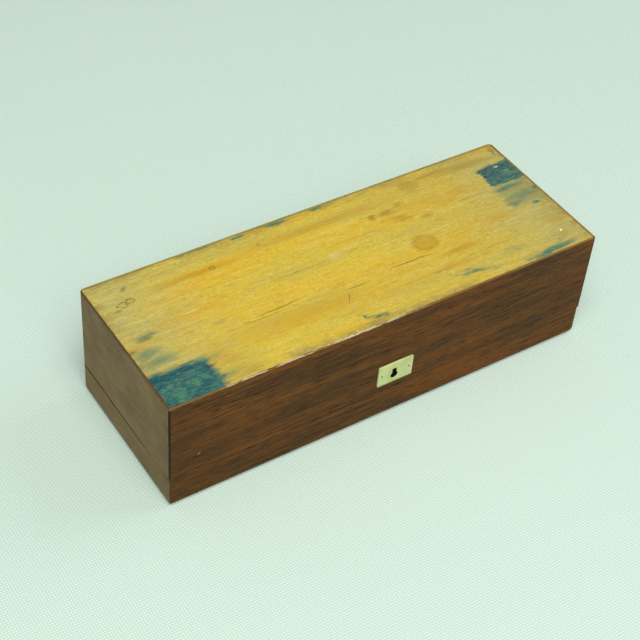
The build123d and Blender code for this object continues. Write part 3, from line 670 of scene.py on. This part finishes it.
def worn_bar(low, high, along, round_edge, wear, step, seed, shape=None):
    """A bar with rounded, slightly uneven faces.

    A rounded rectangle is carried along the given axis; near each end it shrinks on a
    quarter circle. Every point then moves along its outward direction by a sum of waves,
    and shape(points, directions) may push points further.
    """
    low, high = np.array(low, float), np.array(high, float)
    order = {"X": (0, 1, 2), "Y": (1, 2, 0), "Z": (2, 0, 1)}[along]
    size = (high - low)[list(order)] / 2
    ring, way = outline(size[1], size[2], round_edge, step)
    straight = np.linspace(-1, 1, max(3, int(2 * size[0] / step))) * (size[0] - round_edge)
    bend = np.radians(np.linspace(90, 0, 5))[:-1]
    ends = size[0] - round_edge + round_edge * np.sin(bend)
    places = np.concatenate([-ends, straight, ends[::-1]])
    shrink = np.concatenate([round_edge * (1 - np.cos(bend)), np.zeros(len(straight)),
                             round_edge * (1 - np.cos(bend[::-1]))])
    tilt = np.concatenate([-np.sin(bend), np.zeros(len(straight)), np.sin(bend[::-1])])
    section = ring[None] - way[None] * shrink[:, None, None]
    points = np.empty((len(places), len(ring), 3))
    points[..., 0] = places[:, None]
    points[..., 1:] = section
    directions = np.empty_like(points)
    directions[..., 0] = tilt[:, None]
    directions[..., 1:] = way[None] * np.sqrt(1 - tilt**2)[:, None, None]
    back = np.argsort(order)
    points = points.reshape(-1, 3)[:, back] + (low + high) / 2
    directions = directions.reshape(-1, 3)[:, back]
    points = points + directions * (ripples(points, 0.03, seed) * wear)[:, None]
    if shape is not None:
        points = points + shape(points, directions)
    count = len(ring)
    faces = quads(len(places), count, wrap_columns=True)[:, ::-1].tolist()
    faces.append(list(range(count - 1, -1, -1)))
    faces.append(list(range((len(places) - 1) * count, len(places) * count)))
    return points, flipped_out(points, faces)


def flipped_out(points, faces):
    """The faces as they are, or all turned over if their closed surface has negative volume."""
    first, second, third = (points[[face[corner] for face in faces]] for corner in range(3))
    inside = np.einsum("ij,ij->", first, np.cross(second, third))
    return faces if inside > 0 else [face[::-1] for face in faces]


def softened(node, finish, width, shortest=4 * MM):
    """A node's own shape with its edges longer than shortest rounded by wear."""
    source = frame["nodes"][node]
    mesh = source.data.copy()
    mesh.name = "worn_" + node
    work = bmesh.new()
    work.from_mesh(mesh)
    bmesh.ops.remove_doubles(work, verts=work.verts, dist=SAME_POINT)
    bmesh.ops.dissolve_limit(work, angle_limit=FLAT_ANGLE, verts=work.verts, edges=work.edges)
    weight = work.edges.layers.float.new("bevel_weight_edge")
    for edge in work.edges:
        sharp = len(edge.link_faces) == 2 and edge.calc_face_angle() > SHARP_ANGLE
        rounded = sharp and edge.calc_length() > shortest
        edge[weight] = 1.0 if rounded else 0.0
        edge.smooth = rounded or not sharp
    work.to_mesh(mesh)
    work.free()
    mesh.materials.clear()
    mesh.materials.append(finish)
    mesh.shade_smooth()
    piece = bpy.data.objects.new("worn_" + node, mesh)
    bpy.context.collection.objects.link(piece)
    round_off = piece.modifiers.new("worn edges", "BEVEL")
    round_off.width = width
    round_off.segments = 2
    round_off.limit_method = "WEIGHT"
    round_off.use_clamp_overlap = False
    round_off.harden_normals = False
    even = piece.modifiers.new("even shading", "WEIGHTED_NORMAL")
    even.keep_sharp = True
    return piece


# ---------------------------------------------------------------- finishes in use
FRONT_MAHOGANY = mahogany("mahogany_along", "X", 0.0)
END_MAHOGANY = mahogany("mahogany_ends", "Y", END_HAZE)
LID_MAHOGANY = mahogany("mahogany_lid", "X", END_HAZE, ends_only=True)
RACK_MAHOGANY = mahogany("mahogany_rack", "X", RACK_HAZE)
RAW_BOARD = raw_board()
SOFTWOOD = softwood()
BONE = bone()
BRASS = metal("aged_brass", (0.80, 0.58, 0.24), (0.36, 0.23, 0.09), 0.30)
WHITE_METAL = metal("white_metal", (0.80, 0.79, 0.74), (0.46, 0.44, 0.38), 0.26)
STEEL = metal("dull_steel", (0.46, 0.45, 0.43), (0.17, 0.14, 0.11), 0.40)
LOCK_METAL = metal("lock_brass_tarnished", (0.26, 0.17, 0.07), (0.055, 0.036, 0.018), 0.5)
PIN_METAL = metal("plate_pins", (0.12, 0.09, 0.05), (0.03, 0.022, 0.014), 0.5)
SILK = cloth("padded_silk", (0.008, 0.048, 0.052), (0.030, 0.145, 0.140), 0.15, 900)
VELVET = cloth("floor_velvet", (0.006, 0.030, 0.034), (0.022, 0.080, 0.078), 0.9, 1400)
GLASS = lens_glass()
INK = ink()

FINISHES = {"mahogany": FRONT_MAHOGANY, "softwood": SOFTWOOD, "brass": BRASS, "steel": STEEL,
            "white_metal": WHITE_METAL, "bone": BONE, "glass": GLASS, "silk": SILK,
            "velvet": VELVET}
SLOT = {row["node"]: row["material_slot"] for row in frame["record"]["subparts"]}
BODY = {node: body for body, nodes in frame["record"]["behaviour"]["bodies"].items()
        for node in nodes}
for node, thing in frame["nodes"].items():
    thing.data.materials.clear()
    own = LOCK_METAL if node.startswith("lock_") else FINISHES[SLOT[node]]
    thing.data.materials.append(PIN_METAL if node == "escutcheon_pins" else own)


# ---------------------------------------------------------------- woodwork
CASE_WEAR = 0.12 * MM                           # how much of an edge is rounded off
RACK_WEAR = 0.25 * MM
PLATE_WEAR = 0.28 * MM


def board_wear(points, ways):
    """Shallow hollows and raised grain in the raw face: two sums of waves, one drawn out in X."""
    moved = np.zeros_like(points)
    hollows = ripples(points, 45 * MM, 3) * 0.10 * MM
    raised_grain = ripples(points * [0.15, 1, 1], 6 * MM, 4) * 0.04 * MM
    moved[:, 2] = np.where(ways[:, 2] > 0.7, hollows + raised_grain, 0.0)
    return moved


def bottom_board():
    """The raw underside board."""
    points, faces = worn_bar(*BOARD, "X", 0.4 * MM, 0.03 * MM, 1.2 * MM, 11, board_wear)
    piece = surface("raw_underside", points, faces, RAW_BOARD)
    belong(piece, "case", "softwood", "case_bottom_board")


def worn_copies(nodes, finish, *wear):
    """Softened copies in place of some nodes, each on its own body."""
    for node in nodes:
        belong(softened(node, finish, *wear), BODY[node], SLOT[node], node)


bottom_board()
worn_copies(("case_front_veneer", "case_back_veneer", "lid_front_rail", "lid_back_rail"),
            FRONT_MAHOGANY, CASE_WEAR)
worn_copies(("case_left_veneer", "case_right_veneer", "lid_left_rail", "lid_right_rail"),
            END_MAHOGANY, CASE_WEAR)
worn_copies(("lid_board",), LID_MAHOGANY, CASE_WEAR)
worn_copies(("rack_front_rail", "rack_centre_rail", "rack_back_rail", "compartment_divider"),
            RACK_MAHOGANY, RACK_WEAR, 2 * MM)
worn_copies(("escutcheon",), BONE, PLATE_WEAR, 0.2 * MM)


# ---------------------------------------------------------------- soft linings
PAD_ALONG, PAD_ACROSS = 181, 59
PAD_EDGE = 1.2 * MM
STITCH_ROW = 0.36
STITCH_HALF = 0.7 * MM


def lid_pad():
    """Padded silk in the lid, swollen by a short cloth simulation.

    The loose sheet starts nearly flat. Its border and two rows of stitches along it are
    held, pressure lifts what lies between, and it is cut wider than the room it has, so it
    gathers. Its height h is then capped smoothly to room * tanh(h / room).
    """
    low, high = np.array(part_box("lid_pad"))
    half = (high - low)[:2] / 2 - 0.4 * MM
    middle = (low + high)[:2] / 2
    u, v = np.meshgrid(np.linspace(-1, 1, PAD_ALONG), np.linspace(-1, 1, PAD_ACROSS), indexing="ij")
    x, y = u * half[0], v * half[1]
    border_held = (np.abs(u) == 1) | (np.abs(v) == 1)
    stitch_rows = np.abs(np.abs(v) - STITCH_ROW) < STITCH_HALF / half[1]
    loose = 0.5 * MM * (1 - u**6) * (1 - v**6)
    unevenness = np.random.default_rng(5).normal(size=x.shape) * 0.05 * MM
    start = np.where(border_held, PAD_EDGE, PAD_EDGE + 0.3 * MM + loose + unevenness)
    flat = np.stack([x + middle[0], y + middle[1], low[2] + start], axis=-1).reshape(-1, 3)
    faces = quads(PAD_ALONG, PAD_ACROSS)[:, ::-1]
    top = swollen(flat, faces, (border_held | stitch_rows).ravel())
    room = high[2] - low[2] - 0.15 * MM
    top[:, 2] = low[2] + room * np.tanh((top[:, 2] - low[2]) / room)
    top[:, :2] = np.clip(top[:, :2], low[:2] + 0.2 * MM, high[:2] - 0.2 * MM)
    top[:, 2] = np.maximum(top[:, 2], low[2] + 0.6 * MM)
    under = flat * [1, 1, 0] + [0, 0, low[2] + 0.05 * MM]
    points = np.concatenate([top, under])
    edge = border(PAD_ALONG, PAD_ACROSS)
    after = np.roll(edge, -1)
    wall = np.stack([edge, after, after + len(top), edge + len(top)], axis=1)
    every = np.concatenate([faces, faces[:, ::-1] + len(top), wall]).tolist()
    piece = surface("silk_pad", points, flipped_out(points, every), SILK)
    finer = piece.modifiers.new("finer", "SUBSURF")
    finer.levels = finer.render_levels = 1
    finer.boundary_smooth = "PRESERVE_CORNERS"
    belong(piece, "lid", "silk", "lid_pad")


def swollen(points, faces, held):
    """The points of a cloth sheet after twenty frames of pressure; the held ones stay."""
    mesh = bpy.data.meshes.new("loose_sheet")
    mesh.from_pydata(points.tolist(), [], faces.tolist())
    sheet = bpy.data.objects.new("loose_sheet", mesh)
    bpy.context.collection.objects.link(sheet)
    stitched = sheet.vertex_groups.new(name="stitched")
    stitched.add(np.flatnonzero(held).tolist(), 1.0, "REPLACE")
    cloth_settings = sheet.modifiers.new("cloth", "CLOTH").settings
    cloth_settings.quality = 6
    cloth_settings.mass = 0.05
    cloth_settings.tension_stiffness = 10
    cloth_settings.compression_stiffness = 2
    cloth_settings.shear_stiffness = 2
    cloth_settings.bending_stiffness = 0.02
    cloth_settings.use_pressure = True
    cloth_settings.uniform_pressure_force = 4.0
    cloth_settings.shrink_min = -0.06
    cloth_settings.vertex_group_mass = stitched.name
    cloth_settings.effector_weights.gravity = 0
    for number in range(1, 21):
        bpy.context.scene.frame_set(number)
    moved = np.empty(points.size)
    result = sheet.evaluated_get(bpy.context.evaluated_depsgraph_get())
    result.data.vertices.foreach_get("co", moved)
    bpy.context.scene.frame_set(1)
    bpy.data.objects.remove(sheet)
    bpy.data.meshes.remove(mesh)
    return moved.reshape(-1, 3)


def border(rows, columns):
    """Point numbers round the edge of a grid, in order."""
    number = np.arange(rows * columns).reshape(rows, columns)
    return np.concatenate([number[0, :-1], number[:-1, -1], number[-1, :0:-1], number[:0:-1, 0]])


def floor_lining():
    """Velvet glued to the case floor: a thin slab with a slightly uneven face."""
    low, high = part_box("floor_lining")
    points, faces = worn_bar(low, high, "X", 0.3 * MM, 0.05 * MM, 1.5 * MM, 41)
    piece = surface("velvet_floor", points, faces, VELVET)
    belong(piece, "case", "velvet", "floor_lining")


lid_pad()
floor_lining()

# ---------------------------------------------------------------- numbers on the tabs
POWERS = ("0.5", "1", "1.5", "2", "2.5", "3", "3.5", "4", "5", "6")
NUMBER_TALL = 2.3 * MM
NUMBER_PROUD = 0.03 * MM
NUMBER_FROM_TIP = 4.0 * MM
CAPITAL_SHARE = 0.7                             # height of a figure in its font's size
TAB_THICK = 1.2 * MM
TAB_PITCH = (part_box("plus_pair_02")[0][0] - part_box("plus_pair_01")[0][0]) / 2


def number_mesh(words):
    """Points and faces of one number lying in the XY plane, its middle at the origin."""
    curve = bpy.data.curves.new("number", "FONT")
    curve.body = words
    curve.size = NUMBER_TALL / CAPITAL_SHARE
    curve.resolution_u = 2
    curve.extrude = NUMBER_PROUD
    curve.align_x = "CENTER"
    curve.align_y = "CENTER"
    letter = bpy.data.objects.new("number", curve)
    mesh = bpy.data.meshes.new_from_object(letter)
    spots = np.empty(len(mesh.vertices) * 3)
    mesh.vertices.foreach_get("co", spots)
    faces = [list(face.vertices) for face in mesh.polygons]
    bpy.data.objects.remove(letter)
    bpy.data.curves.remove(curve)
    bpy.data.meshes.remove(mesh)
    return spots.reshape(-1, 3), faces


def numbers(row, sign):
    """One row's engraved numbers, on the left face of each finger tab, reading from the tip."""
    all_points, all_faces, start = [], [], 0
    for pair, power in enumerate(POWERS):
        spots, faces = number_mesh(sign + power)
        low, high = np.array(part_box(f"{row}_pair_{pair + 1:02d}"))
        middle_y = (low[1] + high[1]) / 2
        rim_thick = (high[0] - low[0]) - TAB_PITCH
        turned = np.stack([-spots[:, 2], spots[:, 0], -spots[:, 1]], axis=1)
        for slot in (0, 1):
            tab_face = low[0] + rim_thick / 2 + slot * TAB_PITCH - TAB_THICK / 2
            all_points.append(turned + [tab_face, middle_y, low[2] + NUMBER_FROM_TIP])
            all_faces += [[index + start for index in face] for face in faces]
            start += len(spots)
    points = np.concatenate(all_points)
    piece = surface(row + "_numbers", points, all_faces, INK, smooth=False)
    belong(piece, "case", "steel")


numbers("plus", "+")
numbers("minus", "-")


# ---------------------------------------------------------------- floor, lights, camera
TABLE_REACH = 3.0


def table():
    """A wide flat cloth, level with the lid's outer face."""
    side = np.linspace(-TABLE_REACH, TABLE_REACH, 3)
    x, y = np.meshgrid(side, side, indexing="ij")
    points = np.stack([x, y, 0 * x + LOW[2] - 0.1 * MM], axis=-1).reshape(-1, 3)
    faces = quads(3, 3)[:, ::-1].tolist()
    piece = surface("table", points, faces, table_cloth(), smooth=False)


def lamp(name, place, size, power, colour):
    """A square soft light aimed at the case."""
    data = bpy.data.lights.new(name, "AREA")
    data.size = size
    data.energy = power
    data.color = colour
    thing = bpy.data.objects.new(name, data)
    thing.location = place
    thing.rotation_mode = "QUATERNION"
    thing.rotation_quaternion = (-Vector(place)).to_track_quat("-Z", "Y")
    bpy.context.collection.objects.link(thing)


def studio():
    """One large soft light above the viewer's left, a weak one from the right, pale surround."""
    lamp("window", (-0.55, -1.0, 1.9), 1.5, 49, (1.0, 1.0, 0.98))
    lamp("fill_right", (1.5, -0.2, 1.3), 1.2, 8, (0.98, 1.0, 1.0))
    world = bpy.data.worlds.new("surround")
    world.use_nodes = True
    bpy.context.scene.world = world
    glow = world.node_tree.nodes["Background"]
    glow.inputs["Color"].default_value = (0.96, 1.0, 0.98, 1.0)
    glow.inputs["Strength"].default_value = 0.28


CAMERA_PLACE = (-0.3311, -0.4336, 0.5422)
CAMERA_RIGHT = (0.8395, -0.5393, 0.0656)
CAMERA_FORWARD = (0.4298, 0.5853, -0.6875)
LENS = 85.1


def camera():
    """The viewing camera: a long lens, tilted a few degrees."""
    data = bpy.data.cameras.new("camera")
    data.lens = LENS
    data.sensor_width = 36.0
    data.clip_start = 0.01
    thing = bpy.data.objects.new("camera", data)
    forward = np.array(CAMERA_FORWARD) / np.linalg.norm(CAMERA_FORWARD)
    right = np.array(CAMERA_RIGHT) - forward * np.dot(CAMERA_RIGHT, forward)
    right /= np.linalg.norm(right)
    up = np.cross(right, forward)
    thing.matrix_world = Matrix([[right[i], up[i], -forward[i], CAMERA_PLACE[i]] for i in range(3)]
                                + [[0, 0, 0, 1]])
    bpy.context.collection.objects.link(thing)
    bpy.context.scene.camera = thing


table()
studio()
camera()
bpy.context.scene.view_settings.view_transform = "Standard"
